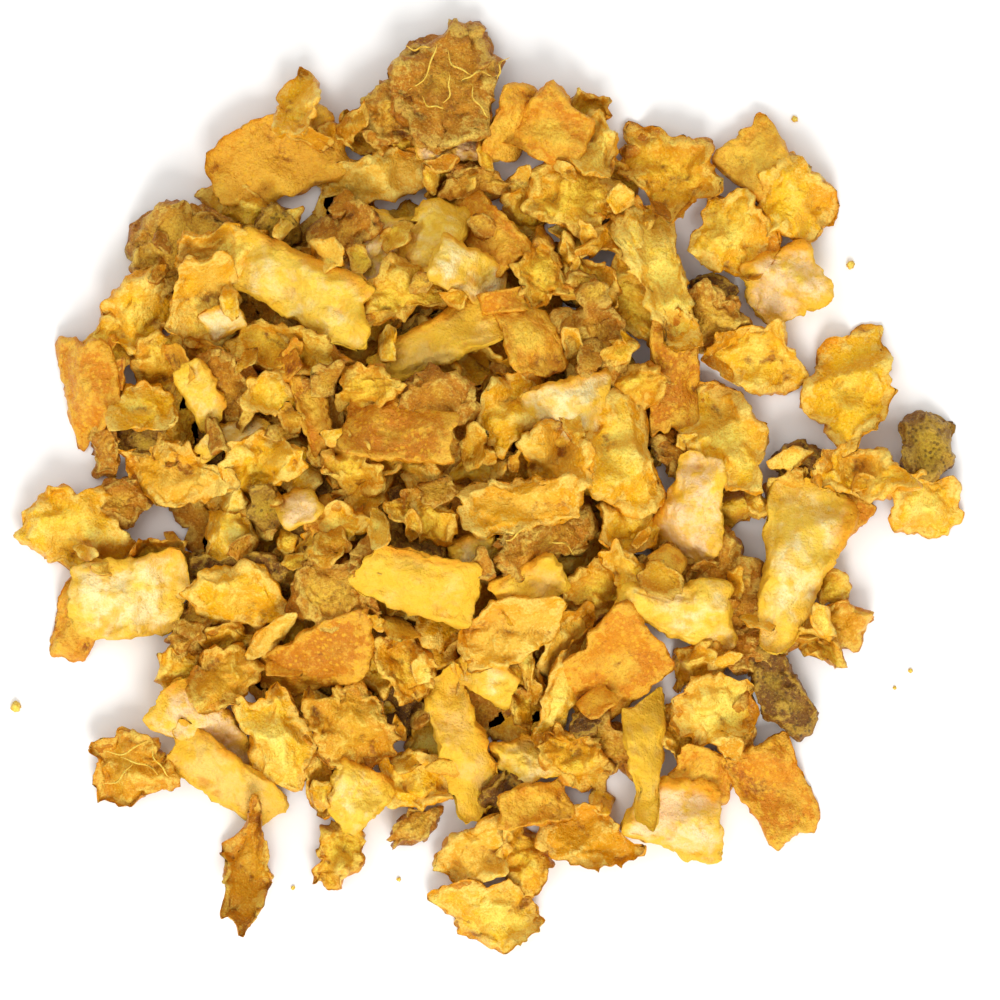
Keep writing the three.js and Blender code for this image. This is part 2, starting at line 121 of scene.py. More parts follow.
# %% Chips in the body of the heap
BODY = [
    (-3.5, 28.3, 8.2, 7.2, 60, "pulp", .8), (1, 25.2, 4.2, 3.8, 80, "rind", .3),
    (-22, 16.8, 7.6, 5.2, 25, "pulp", .1), (-26.9, 9.8, 5, 3.6, 80, "amber", .3),
    (-24.9, 11.8, 5, 4.2, 60, "gold", .5), (-28.6, 6.7, 5.8, 3.4, -78, "rind", .7),
    (-23.4, 8.6, 5.2, 3.4, 70, "amber", .4), (-24.6, 5.4, 5, 3, -10, "gold", .5),
    (-15.4, 17.9, 3.2, 2.6, 90, "dark", .1), (-8.2, 16, 5, 3.8, 60, "pith", .8),
    (-6.4, 13.2, 6.6, 4, 25, "amber", .1), (-19.6, 15.8, 5.6, 3.8, 35, "gold", .2),
    (-20.2, 12.6, 5.8, 5, 80, "gold", .3), (-14.6, 9.6, 7.4, 3.6, -15, "amber", .4),
    (-19.4, 8.7, 5.8, 1.6, -20, "rind", .8), (-18.8, 6.8, 5, 3.8, -50, "pulp", .6),
    (-15.6, 6.4, 3.6, 3, 0, "gold", .6), (-9.8, 1.1, 4, 3, -20, "amber", .3),
    (5.6, 20.6, 5.8, 5, 30, "amber", .3), (-0.2, 17.4, 5.6, 3.2, -55, "rind", .6),
    (6.2, 14.4, 5, 3.4, -55, "amber", .4), (12.3, 22, 6.8, 5.2, -10, "amber", .5),
    (18.6, 22.9, 5.4, 3.6, -50, "rind", .1), (20.6, 19.8, 6.2, 4.6, -60, "gold", .7),
    (20.2, 14.3, 6, 4.2, 15, "pith", .9), (14.8, 11.6, 4.8, 4, -30, "pulp", .4),
    (11.9, 7.2, 8, 3.2, 88, "rind", 1.), (6.6, 10, 5.6, 4.8, -50, "pulp", .6),
    (9.4, 7, 4.2, 2.8, 0, "amber", .4), (-1.4, -5, 4.6, 2.8, 15, "pith", .5),
    (24.7, 7.1, 9, 5.6, 62, "gold", .7), (25.4, 1, 7, 3, -8, "gold", .5),
    (29.9, 2.8, 4.4, 4, 40, "dark", .2), (30, -1.3, 5, 4, -25, "gold", .5),
    (-29.3, -3, 7.2, 6, -30, "gold", .6), (-28.9, -8.8, 5.2, 3, 60, "rind", .3),
    (-24.4, -5.4, 6, 2.4, 10, "amber", .2), (-18.5, -3, 5.8, 3.6, 80, "gold", .6),
    (-11.2, -3, 5.2, 3, 10, "gold", .4), (-18.4, -6.2, 6.8, 2.4, 3, "dark", .8),
    (-17.8, -7.8, 6.4, 4.4, -10, "gold", .7), (-11.2, -7.6, 6, 4.6, -20, "pulp", .4),
    (-8.4, -5, 4, 2.6, 80, "pulp", .8), (-5, -2.2, 4.8, 2.8, -30, "amber", .3),
    (-20.6, -17, 7, 3.8, -25, "pith", .9), (-25.2, -19.3, 6.4, 4.8, -10, "amber", .5),
    (-5.8, -20.8, 5.2, 4, -10, "gold", .6), (-9.8, -21.4, 4.6, 3.6, -30, "pith", .5),
    (-17.2, -26.8, 7, 3.2, 82, "amber", .6), (-10.9, -26, 6, 3.2, 62, "amber", .2),
    (-1.4, -25.7, 5.2, 4.6, 80, "gold", .3), (0, -30, 6.8, 4, -10, "gold", .3),
    (3.8, -4, 7, 3.6, 25, "pulp", .7), (2.4, -7, 6.2, 2.6, 30, "pith", .4),
    (7, -7.4, 5, 3.6, 40, "amber", .5), (9.4, -6.4, 4.6, 2.6, -55, "gold", .5),
    (5, -11.4, 5.8, 3.6, 70, "gold", .2), (9.4, -2.2, 5, 4, 80, "gold", .6),
    (16.4, -6.8, 6.2, 4, -75, "pulp", .6), (20.6, -0.6, 3.8, 2.8, 80, "amber", .3),
    (23.7, -9.8, 5.2, 3, 10, "amber", .4), (22.6, -11.2, 3.8, 1.8, -40, "amber", .3),
    (19.8, -14.4, 7.2, 3.4, -68, "dark", .7), (14, -12.8, 4.8, 3.2, 10, "amber", .7),
    (4.6, -14.6, 6.8, 2.2, 65, "gold", .3), (5.4, -18.8, 5.2, 3.4, -40, "amber", .6),
    (6.2, -24.4, 6, 4.2, -12, "gold", .9), (3.2, -22.2, 4, 3.2, 10, "rind", .4),
    (14.8, -20, 4, 3.2, -30, "rind", .5), (12.8, -23.4, 6, 4.8, -15, "pith", 1.),
    (19.2, -21, 7, 4.4, -62, "rind", .6), (-0.6, -13.6, 3.8, 2.8, -30, "pith", .5),
]
print(len(BODY), "chips in the body")

# %% Chips on the crown of the heap
CROWN = [
    (-15.1, 23.2, 8.6, 6.8, 20, "rind", -.2), (-13.9, 26.2, 4.6, 3.4, 80, "gold", .7),
    (-8.5, 21.4, 10, 3.8, 22, "gold", .1), (-11.2, 17.2, 6.2, 3.2, 28, "pulp", .8),
    (-4.2, 17.2, 5.8, 5, 80, "pith", .5), (-2, 14.8, 5.4, 3.8, -30, "pith", .3),
    (-13.7, 13.6, 10.2, 5.2, -25, "pith", .5), (-18.9, 11.4, 2.8, 2.2, 20, "pith", .1),
    (-3.7, 9.8, 9.8, 3.6, 25, "pith", .4), (0.5, 5.2, 6.4, 4.6, 60, "gold", .8),
    (-4, 6.2, 5.6, 3.8, -20, "pulp", .8), (-7.2, 3.9, 8.2, 4, -15, "rind", .9),
    (-12.7, 5.1, 5.4, 2.4, -74, "rind", .4), (-20.4, 6.4, 4.8, 2.4, -65, "pith", .5),
    (-9, 6.8, 5.2, 2.8, 10, "amber", .3), (-22, 0.9, 8, 4.6, -5, "gold", .4),
    (-18.4, 3.4, 4.6, 2, 25, "pith", .2), (-16.2, 1.6, 5.8, 3.6, 10, "gold", .6),
    (6.6, 23.6, 5, 3.8, 60, "gold", .1), (3.6, 24.9, 6.2, 4.8, 60, "rind", .5),
    (3.1, 14.7, 5, 3.4, -75, "amber", .3), (11.5, 14.4, 8.8, 6.6, -70, "gold", .2, WEDGE),
    (16.4, 17.4, 7.2, 5.4, -75, "gold", .4), (18.6, 9.2, 6.8, 5.2, -15, "gold", .5),
    (16.2, 3.2, 8.4, 4.8, -55, "gold", .4), (5.2, 5.4, 5.8, 4.6, 10, "pith", .1),
    (2.5, 9.9, 5.8, 3.4, -75, "rind", .3), (8.8, 2, 9.6, 4.8, -78, "gold", .5),
    (4.4, 1.8, 5.6, 3.6, -30, "gold", .4), (-15.8, -1.6, 3, 2.6, 0, "dark", .2),
    (-13.6, -1.5, 3, 2.2, 30, "pith", .9), (-4.6, -7, 8.2, 4.8, -15, "pith", .5),
    (-15.6, -10.4, 3.8, 1.5, 40, "gold", .2), (-12.8, -12, 7.6, 5.2, 25, "rind", .9),
    (-15, -17.6, 8.6, 5.2, -65, "gold", .4), (-10, -16.6, 7.8, 5.2, -60, "amber", .2),
    (-19, -13.4, 4.8, 4.2, 60, "amber", .3), (-6.2, -12.6, 5, 3.8, -60, "amber", .6),
    (-18.8, -20.4, 9.2, 3.8, -35, "pith", .1), (-25.7, -7.9, 7.8, 7.2, 6, "pith", .2),
    (-2.4, -17.8, 9.8, 3.6, -72, "pith", .7), (0.4, -10.4, 8.2, 4.2, 25, "gold", .2),
    (1.8, -1.2, 8.8, 4, 5, "gold", .5), (13.8, -1.8, 7.2, 4.8, 80, "pith", .9),
    (12.6, -9.2, 7.2, 4.8, 170, "pith", .4, WEDGE), (21.2, -4.8, 11.2, 5.8, -105, "pith", .4, WEDGE),
    (10.4, -18.4, 7.2, 3.4, -92, "pith", .5, WEDGE), (8.6, -12.8, 7.4, 6.2, 30, "rind", .6),
    (15, -15.6, 6.8, 5, 40, "gold", .2), (6.1, -16.6, 2.4, 1.7, 20, "dark", 1.),
]
print(len(CROWN), "chips on the crown")

# %% [markdown]
# ## Cutting a chip
#
# A knife leaves four corners and tearing leaves five or six, and drying lifts some of them. Chance decides
# how, but it has to be the same chance on every run, so the numbers come from a small seeded rule and not
# from the clock. Each list has seeds of its own, so one more row at its end changes no other chip's cut.

# %% Chance that repeats
SEED = 58  # a chip's number is added to it
FIRST_INNER = 1000  # number of the first chip inside the mound
FIRST_BIT = 2000  # number of the first bit in a hollow


def dice(seed):
    """A row of chance numbers from 0 to 1, always the same for the same seed."""
    state = (seed * 7919 + 17) % 2**32

    def draw():
        nonlocal state
        state = (state * 1664525 + 1013904223) % 2**32
        return state / 2**32

    draw()
    return draw


def pick(draw, low, high):
    """The next chance number, between low and high."""
    return low + (high - low) * draw()


# %% Corners, thickness and tilt of a chip
CORNER_PLAY = 20  # degrees by which chance moves a corner either way
CUT_REACH = (1.12, 1.42)  # how far out a corner that the knife left may lie, in half lengths
TORN_REACH = (0.88, 1.18)  # the same for a torn corner
CORNER_LIFT = (-0.3, 1.0)  # how far a corner may be lifted, in curls
THICKNESS_PLAY = (0.8, 1.2)
THICKEST = 0.75  # no chip is thicker than this share of its width
ROCKING = 0.25  # how far chance tips a chip, as a slope
SLANT_SLOPE = (0.25, 0.65)
SLANT_START = 0.25  # how far from the middle a slanted face may start, in widths
CREASE_HEIGHT = (-0.8, 1.2)  # in bends; above 0 the crease is a groove, below 0 a ridge
CREASE_START = 0.125  # how far from the middle a crease may run, in widths


def cut_chip(row, number, hidden=0.0):
    """Makes one chip from its row. It is larger than what shows by the share that its neighbours hide."""
    x, y, length, width, turn, name, tint, *given = row
    sort = SORTS[name]
    cut = given[0] if given else sort["cut"]
    draw = dice(SEED + number)
    torn = 5 + int(2 * draw())
    corners = []
    for place in cut or [360 * i / torn for i in range(torn)]:
        angle = math.radians(place + pick(draw, -CORNER_PLAY, CORNER_PLAY))
        reach = pick(draw, *(CUT_REACH if cut else TORN_REACH))
        lift = sort["curl"] * pick(draw, *CORNER_LIFT)
        corners.append((angle, reach, lift))
    length *= 1 + hidden
    width *= 1 + hidden
    thick = min(sort["thick"] * pick(draw, *THICKNESS_PLAY), THICKEST * width)
    tip = (pick(draw, -ROCKING, ROCKING), pick(draw, -ROCKING, ROCKING))
    slants = []
    for i in range(sort["slants"]):
        angle = (i + draw()) * 2 * math.pi / sort["slants"]
        slope = pick(draw, *SLANT_SLOPE)
        start = pick(draw, 0.0, SLANT_START * width)
        slants.append((math.cos(angle), math.sin(angle), slope, start))
    lot = draw()
    creases = []
    for i in range(2):
        angle = (i + draw()) * math.pi / 2
        height = sort["bend"] * pick(draw, *CREASE_HEIGHT)
        start = pick(draw, -CREASE_START * width, CREASE_START * width)
        creases.append((math.cos(angle), math.sin(angle), start, height))
    return dict(x=x, y=y, length=length, width=width, turn=math.radians(turn), sort=name, tint=tint,
                corners=corners, thick=thick, tip=tip, slants=slants, lot=lot, creases=creases)


LAYERS = [(FOOT, 0, 0.22), (BODY, 100, 0.16), (CROWN, 200, 0.06)]  # rows, first number, hidden share
shown_chips = [cut_chip(row, first + i, hidden)
               for rows, first, hidden in LAYERS for i, row in enumerate(rows)]
print(len(shown_chips), "chips on show, the longest", max(chip["length"] for chip in shown_chips), "mm")

# %% [markdown]
# ## How the heap piles up
#
# A rigid-body simulation could drop the chips, but they would not land where the photo has them. Instead
# the pile is kept as a height over every half millimetre of floor. A chip is let down over its own place,
# takes the slope of what is there, beds in between the bumps, and then raises the height by its own
# thickness. The pile starts as a low mound, which stands for the chips that nobody sees.

# %% The mound inside the heap
CORE_MIDDLE = (-5.5, 0.0)
CORE_REACH = 17.4  # from its middle to its foot
CORE_PINCH = 2.0  # how much nearer the left and right feet are
CORE_LEAN = 0.8  # how much farther it reaches to the back
CORE_HEIGHT = 5.8


def core_reach(angle):
    """How far the mound's foot lies from its middle."""
    return CORE_REACH - CORE_PINCH * math.cos(2 * angle) + CORE_LEAN * math.sin(angle)


def core_height(x, y):
    """How high the bare mound is at a place, as a flat round cap."""
    dx = x - CORE_MIDDLE[0]
    dy = y - CORE_MIDDLE[1]
    share = math.hypot(dx, dy) / core_reach(math.atan2(dy, dx))
    return max(0.0, CORE_HEIGHT * (1 - share * share))


def core_place(share, angle):
    """The place that lies a share of the way from the mound's middle to its foot."""
    away = share * core_reach(angle)
    return CORE_MIDDLE[0] + away * math.cos(angle), CORE_MIDDLE[1] + away * math.sin(angle)


# %% The height of the pile
FIELD_SIDE = 76.0  # side of the square of floor that is kept
FIELD_CELL = 0.5
CELLS = round(FIELD_SIDE / FIELD_CELL)


def cell_at(place):
    return math.floor((place + FIELD_SIDE / 2) / FIELD_CELL)


def place_of(cell):
    return (cell + 0.5) * FIELD_CELL - FIELD_SIDE / 2


field = [[core_height(place_of(i), place_of(j)) for j in range(CELLS)] for i in range(CELLS)]
print("the mound is", round(max(map(max, field)), 2), "mm high")

# %% Letting a chip down on the pile
STEEPEST = 0.6  # the steepest slope that a chip can lie at
BEDDING = 0.7  # 0: a chip stops at the first touch, 1: it sinks to the mean height under it
GRIP = 0.6  # how much deeper it sinks where others are under it
TINY = 1e-9  # keeps a chip of a single cell from a division by 0


def turned(x, y, angle):
    """A place, turned round the origin."""
    cos = math.cos(angle)
    sin = math.sin(angle)
    return x * cos - y * sin, x * sin + y * cos


def cells_under(chip):
    """Every cell under the chip, with its place along and across the chip."""
    reach = chip["length"] / 2
    found = []
    for i in range(cell_at(chip["x"] - reach), cell_at(chip["x"] + reach) + 1):
        for j in range(cell_at(chip["y"] - reach), cell_at(chip["y"] + reach) + 1):
            along, across = turned(place_of(i) - chip["x"], place_of(j) - chip["y"], -chip["turn"])
            if (2 * along / chip["length"]) ** 2 + (2 * across / chip["width"]) ** 2 < 1:
                found.append((i, j, along, across))
    return found


def slope_of(pairs):
    """The slope of the line that fits heights at places best."""
    return sum(place * height for place, height in pairs) / (sum(place * place for place, _ in pairs) + TINY)


def lay(chip):
    """Gives a chip its slopes and its level, and raises the pile by it."""
    under = cells_under(chip)
    rise = slope_of([(along, field[i][j]) for i, j, along, _ in under]) + chip["tip"][0]
    roll = slope_of([(across, field[i][j]) for i, j, _, across in under]) + chip["tip"][1]
    chip["rise"] = max(-STEEPEST, min(STEEPEST, rise))
    chip["roll"] = max(-STEEPEST, min(STEEPEST, roll))
    needed = [field[i][j] - chip["rise"] * along - chip["roll"] * across for i, j, along, across in under]
    chip["level"] = BEDDING * sum(needed) / len(needed) + (1 - BEDDING) * max(needed)
    if any(field[i][j] > 0 for i, j, _, _ in under):
        chip["level"] -= GRIP
    for i, j, along, across in under:
        top = chip["level"] + chip["rise"] * along + chip["roll"] * across + chip["thick"]
        field[i][j] = max(field[i][j], top)


for chip in shown_chips:
    lay(chip)
print("the heap is", round(max(map(max, field)), 2), "mm high")

# %% [markdown]
# ## Chips inside the mound
#
# Between the chips on show one looks down on others, deeper and browner. They are laid by a rule: along a
# spiral that fills the mound evenly, each on the mound's slope, with its top just under the mound's
# surface.

# %% Lay the inner chips
INNER_COUNT = 100
INNER_SEED = 5000
INNER_SORTS = ["amber", "pulp", "gold", "amber", "dark", "pulp", "amber", "rind"]
INNER_DEPTH = 0.3  # how far their tops lie under the mound's surface
GOLDEN_TURN = math.pi * (3 - math.sqrt(5))
inner_chips = []
for number in range(INNER_COUNT):
    draw = dice(INNER_SEED + number)
    share = math.sqrt((number + 0.5) / INNER_COUNT)
    angle = number * GOLDEN_TURN
    x, y = core_place(share, angle)
    length = pick(draw, 4.2, 6.8)
    width = length * pick(draw, 0.55, 0.85)
    sort = INNER_SORTS[int(pick(draw, 0, len(INNER_SORTS)))]
    row = (x, y, length, width, pick(draw, 0, 180), sort, pick(draw, 0.5, 1.0))
    chip = cut_chip(row, FIRST_INNER + number)
    steep = 2 * CORE_HEIGHT * share / core_reach(angle)
    chip["rise"] = -steep * math.cos(angle - chip["turn"]) + 2 * chip["tip"][0]
    chip["roll"] = -steep * math.sin(angle - chip["turn"]) + 2 * chip["tip"][1]
    chip["level"] = core_height(x, y) - chip["thick"] - INNER_DEPTH
    inner_chips.append(chip)
print(len(inner_chips), "chips inside the mound")

# %% [markdown]
# Cutting also leaves bits of two or three millimetres, and they slip down until a hollow holds them. A
# place is tried by chance, and a bit is laid there if the pile stands clearly higher all round.

# %% Bits in the hollows
BIT_COUNT = 95
BIT_SEED = 9001
BIT_SORTS = ["gold", "amber", "pulp", "amber", "gold", "rind"]
BITS_REACH = 29.0  # farthest place that is tried, from the middle of the layout
HOLLOW_FLOOR = 0.8  # no hollow is lower than this, so none lies on the bare floor
HOLLOW_REACH = 2.2  # how far from a place its ring is looked at
HOLLOW_TURNS = (0, 0.8, 1.6, 2.4, 3.1, 3.9, 4.7, 5.5)  # the eight places of the ring, in radians
HOLLOW_DEPTH = 0.45  # how much higher the ring stands


def height_at(x, y):
    """How high the pile is at a place."""
    return field[cell_at(x)][cell_at(y)]


bits = []
draw = dice(BIT_SEED)
while len(bits) < BIT_COUNT:
    angle = 2 * math.pi * draw()
    away = BITS_REACH * math.sqrt(draw())
    x = away * math.cos(angle)
    y = away * math.sin(angle)
    ring = [height_at(x + HOLLOW_REACH * math.cos(turn), y + HOLLOW_REACH * math.sin(turn))
            for turn in HOLLOW_TURNS]
    if HOLLOW_FLOOR < height_at(x, y) < sum(ring) / len(ring) - HOLLOW_DEPTH:
        length = pick(draw, 1.7, 3.3)
        width = length * pick(draw, 0.4, 0.75)
        sort = BIT_SORTS[int(pick(draw, 0, len(BIT_SORTS)))]
        bit = cut_chip((x, y, length, width, pick(draw, 0, 180), sort, draw()), FIRST_BIT + len(bits))
        lay(bit)
        bit["rise"] += pick(draw, -0.6, 0.6)
        bit["roll"] += pick(draw, -0.8, 0.8)
        bits.append(bit)
print(len(bits), "bits in the hollows")

# %% [markdown]
# ## From a ball to a chip
#
# Each chip starts as a ball of even triangles, which has no seam and no pole. The ball is pressed to a
# slab: its upper cap becomes the upper face, its lower cap the lower face, and the band between them the
# wall. The band is chosen so that the triangles stay about equal. An extruded outline would be the obvious
# way, but its two faces would need a grid of their own before they could wrinkle.

# %% Press a ball to a slab
WALL_BAND = 0.38  # how far up and down the ball the wall reaches
slab_maps = {}


def add_ball(piece, fineness):
    """Adds a ball of radius 1 to a piece, and gives its points."""
    return bmesh.ops.create_icosphere(piece, subdivisions=fineness, radius=1)["verts"]


def slab_map(fineness):
    """For each corner of a ball: its angle, how far out it lies on the slab, and its level, -1 to 1."""
    if fineness not in slab_maps:
        ball = bmesh.new()
        places = []
        for vert in add_ball(ball, fineness):
            height = abs(vert.co.normalized().z)
            out = 1.0 if height < WALL_BAND else math.sqrt((1 - height) / (1 - WALL_BAND))
            level = min(1.0, height / WALL_BAND) * (1 if vert.co.z > 0 else -1)
            places.append((math.atan2(vert.co.y, vert.co.x) % (2 * math.pi), out, level))
        ball.free()
        slab_maps[fineness] = places
    return slab_maps[fineness]


# %% [markdown]
# The outline is worked out once for each chip, at every degree. It runs straight from corner to corner, and
# carries the lift of the curled corners with it. Then the corners are worn round, and noise of four sizes
# bites into it, from a missing quarter to a torn thread.

# %% The torn outline of a chip
DEGREES = 360
BITES = [(0.9, 0.2), (2.0, 0.13)]  # bites round the outline, and their depth
FRAYS = [(4.0, 0.06), (11.0, 0.04)]  # the same for the torn threads
FRAYED_PLACES = 1.3  # how often round the outline the threads come and go
OUTLINE_APART = 20  # keeps the outlines of two chips from reading the same noise


def step_between(value, low, high):
    """0 below low, 1 above high, and smooth between."""
    share = max(0.0, min(1.0, (value - low) / (high - low)))
    return share * share * (3 - 2 * share)


def worn(values, reach):
    """Each value as the mean of its neighbours up to that many degrees away."""
    window = range(-reach, reach + 1)
    return [sum(values[(i + step) % DEGREES] for step in window) / len(window) for i in range(DEGREES)]


def chip_outline(chip):
    """How far out the edge lies, and how far it is lifted, at each degree."""
    corners = chip["corners"]
    sort = SORTS[chip["sort"]]
    reaches = []
    lifts = []
    for degree in range(DEGREES):
        angle = degree * 2 * math.pi / DEGREES
        past = [(angle - corner[0]) % (2 * math.pi) for corner in corners]
        i = past.index(min(past))
        a, reach_a, lift_a = corners[i]
        b, reach_b, lift_b = corners[(i + 1) % len(corners)]
        span = (b - a) % (2 * math.pi)
        share = past[i] / span
        straight = reach_a * reach_b * math.sin(span)
        straight /= reach_a * math.sin(past[i]) + reach_b * math.sin(span - past[i])
        reaches.append(straight)
        lifts.append(lift_a * (1 - share) + lift_b * share)
    reaches = worn(reaches, sort["round"])
    for degree in range(DEGREES):
        angle = degree * 2 * math.pi / DEGREES
        spot = Vector((math.cos(angle), math.sin(angle), OUTLINE_APART * chip["lot"]))
        torn = sum(depth * noise.noise(often * spot) for often, depth in BITES)
        frayed = sum(depth * noise.noise(often * spot) for often, depth in FRAYS)
        torn += frayed * step_between(noise.noise(FRAYED_PLACES * spot), -0.2, 0.3)
        reaches[degree] *= 1 + sort["bite"] * torn
    return reaches, worn(lifts, sort["round"])


# %% [markdown]
# ## Folds, wrinkles, beads and crags
#
# Several sizes of unevenness sit on top of each other. Folds bend the whole chip, both faces together.
# Wrinkles come in patches, and more at the rim, because a chip dries from its rim. Beads are the oil glands
# that stand out as small blisters. Crags push the surface sideways as well, which makes the frilled rims
# and the overhangs of dried pulp. How high a point stands above the plain slab is stored as its crest.

# %% Slanted cuts and creases
DEEPEST_CUT = 0.6  # the most that the knife takes off, in thicknesses
CREASE_ROUND = 0.02  # 0 would be a crease as sharp as folded paper
CREASE_LINE = 60  # the larger, the narrower the line that is seen as ridge or groove


def slant_at(chip, along, across):
    """How much the knife took off the upper face at a place."""
    cuts = [slope * (along * cos + across * sin - start) for cos, sin, slope, start in chip["slants"]]
    return min(DEEPEST_CUT * chip["thick"], max(0.0, *cuts)) if cuts else 0.0


def crease_at(chip, along, across):
    """How far a place is lifted because the chip dried folded, like paper, along two lines.

    Also how sharp a ridge it lies on, or how sharp a groove where that is below 0.
    """
    lift = 0.0
    sharp = 0.0
    for cos, sin, start, height in chip["creases"]:
        away = abs(along * cos + across * sin - start) / (0.5 * chip["width"])
        lift += height * (math.sqrt(away * away + CREASE_ROUND) - 0.5)
        sharp -= height * math.exp(-CREASE_LINE * away * away)
    return lift, sharp


# %% Wrinkles, beads and crags
PATCH_SIZE = 2.9  # of the patches that wrinkles come in
RIDGE_WIDTH = 1.7  # the larger, the narrower; a ridge runs where its noise crosses 0
SWELLING_SIZE = 0.45  # in wrinkle sizes
SWELLING_SHARE = 0.35  # how high a swelling is, in wrinkles
BEAD_SIZE = 0.95  # from bead to bead
BEAD_REACH = 0.4  # of one bead, in bead sizes
BEAD_PATCH_SIZE = 2.3
CRAGS = [(1.5, 1.0), (0.6, 0.5)]  # sizes of crags, and their share of the push
CRAG_WAYS = [Vector((0, 0, 30)), Vector((0, 0, 60)), Vector((0, 0, 90))]  # where each axis reads the noise


def wrinkles_at(sort, spot, out, home):
    """Sharp ridges in patches, more of them near the rim, and the soft swellings between them."""
    patch = step_between(noise.noise(spot / PATCH_SIZE - home) + 0.7 * (out - 0.6), -0.2, 0.4)
    ridge = patch * (0.5 - RIDGE_WIDTH * abs(noise.noise(spot / sort["wrinkle_size"])))
    swelling = noise.noise(spot / (SWELLING_SIZE * sort["wrinkle_size"]))
    return ridge, swelling


def bead_at(spot, out):
    """How far up an oil gland a point lies: 0 between the glands, 1 on top of one."""
    nearest = noise.voronoi(spot / BEAD_SIZE)[0][0]
    place = step_between(noise.noise(spot / BEAD_PATCH_SIZE) + 0.5 * out, 0.1, 0.5)
    return place * max(0.0, 1 - (nearest / BEAD_REACH) ** 2)


def crag_at(spot):
    """Which way a point of a torn surface is pushed.

    The noise that gives a whole vector is another one on each run, so each axis reads the plain one.
    """
    return Vector([sum(share * noise.noise(spot / size + way) for size, share in CRAGS)
                   for way in CRAG_WAYS])


# %% A point of the plain slab
FACE_TAPER = 0.1  # how much smaller the faces are than the middle of the wall
THIN_FROM = 0.35  # how far out a chip starts to get thinner


def on_slab(chip, angle, out, level, reach):
    """How far along, across and up a point lies on a chip that is still flat."""
    reach = 0.5 * reach * out * (1 - FACE_TAPER * level**4)
    along = chip["length"] * reach * math.cos(angle)
    across = chip["width"] * reach * math.sin(angle)
    thick = chip["thick"] * (1 - SORTS[chip["sort"]]["thin"] * step_between(out, THIN_FROM, 1.0))
    up = 0.5 * (chip["thick"] + level * thick)
    if level > 0:
        up -= level * slant_at(chip, along, across)
    return along, across, up


# %% From a chip's own place to the heap's
FOOT_CLEAR = 0.04  # how far above the floor a lower face stays
SKIN_CLEAR = 0.5  # the same for an upper face
HEAP_TOP = 10.4  # no tip stands higher than this


def in_heap(chip, along, across, up, level):
    """Where a chip's point lies in the heap, between the floor and the heap's top."""
    x, y = turned(along, across, chip["turn"])
    lowest = FOOT_CLEAR + (SKIN_CLEAR - FOOT_CLEAR) * ((1 + level) / 2) ** 2
    height = chip["level"] + chip["rise"] * along + chip["roll"] * across + up
    return Vector((chip["x"] + x, chip["y"] + y, min(HEAP_TOP, max(lowest, height))))


# %% Shape one chip
FACTS = ("crest", "rim", "skin", "gland", "tint", "slope_shade")  # what is known of each point of a chip
BIT_LENGTH = 3.6  # below this length, folds and wrinkles get smaller with the chip
DISHED = 0.4  # how far the middle of a curled chip sinks, in curls
CRAG_MIDDLE = 0.35  # the crags' share in a chip's middle, where it is 1 at its rim
CRAG_UP = 0.7  # how much of its push a crag gives upwards


def mould_chip(piece, chip, fineness):
    """Adds one chip to a piece, at its place in the heap."""
    sort = SORTS[chip["sort"]]
    reaches, lifts = chip_outline(chip)
    verts = add_ball(piece, fineness)
    facts = {name: piece.verts.layers.float[name] for name in FACTS}
    home = Vector((37 * chip["lot"], 61 * chip["lot"], 0))  # a part of the noise for itself
    small = min(1.0, chip["length"] / BIT_LENGTH) ** 1.6  # the relief's share on a small chip
    for vert, (angle, out, level) in zip(verts, slab_map(fineness)):
        degree = int(angle * DEGREES / (2 * math.pi)) % DEGREES
        along, across, up = on_slab(chip, angle, out, level, reaches[degree])
        # folds and curls, both faces together
        spot = Vector((along, across, up)) + home
        fold = noise.noise(spot / sort["fold_size"] + home)
        bent, sharp = crease_at(chip, along, across)
        dished = DISHED * sort["curl"] * (1 - out * out)
        up += small * (lifts[degree] * out * out + bent - dished + sort["fold"] * fold)
        # wrinkles and beads, outwards on the walls and upwards on the face
        ridge, swelling = wrinkles_at(sort, spot, out, home)
        bead = bead_at(spot, out) if sort["beads"] else 0.0
        relief = small * (sort["wrinkle"] * (ridge + SWELLING_SHARE * swelling) + sort["beads"] * bead)
        relief += sort["grit"] * noise.noise(spot / sort["grit_size"])
        along += relief * math.cos(angle) * (1 - level**4)
        across += relief * math.sin(angle) * (1 - level**4)
        up += relief * (level if out < 1 else level**3)
        # crags, any way, and most at the rim
        crag = crag_at(spot)
        push = small * sort["crag"] * (CRAG_MIDDLE + (1 - CRAG_MIDDLE) * out)
        along += push * crag.x
        across += push * crag.y
        up += CRAG_UP * push * crag.z
        vert.co = in_heap(chip, along, across, up, level)
        # the crest is 0.5 where nothing stands out, and the rim is over 1 on the wall and the underside
        crest = 0.6 * ridge + 0.3 * swelling + 0.5 * fold + 0.4 * sort["crag"] * crag.z + 0.3 * sharp
        vert[facts["crest"]] = 0.5 + crest
        vert[facts["rim"]] = out if level == 1 else 1.25 - 0.25 * level
        vert[facts["skin"]] = 2 * across / chip["width"]
        vert[facts["gland"]] = bead
        vert[facts["tint"]] = chip["tint"]


# %% [markdown]
# ## One piece for each sort
#
# The chips of one sort share a finish, so they are joined to one piece. The whole layout is moved a little,
# so that the middle of the heap's outline comes to lie at the origin, and scaled from millimetres to
# metres. Large chips are made of more triangles, and what lies between them of fewer.

# %% Make a finished object of a piece
HEAP_SHIFT = Vector((0.45, 0.06, 0))


def add_object(name, data):
    """Puts a mesh, a light or a camera into the scene."""
    thing = bpy.data.objects.new(name, data)
    bpy.context.scene.collection.objects.link(thing)
    return thing


def add_mesh(name, piece):
    """Puts a bmesh into the scene and frees it."""
    mesh = bpy.data.meshes.new(name)
    piece.to_mesh(mesh)
    piece.free()
    return add_object(name, mesh)


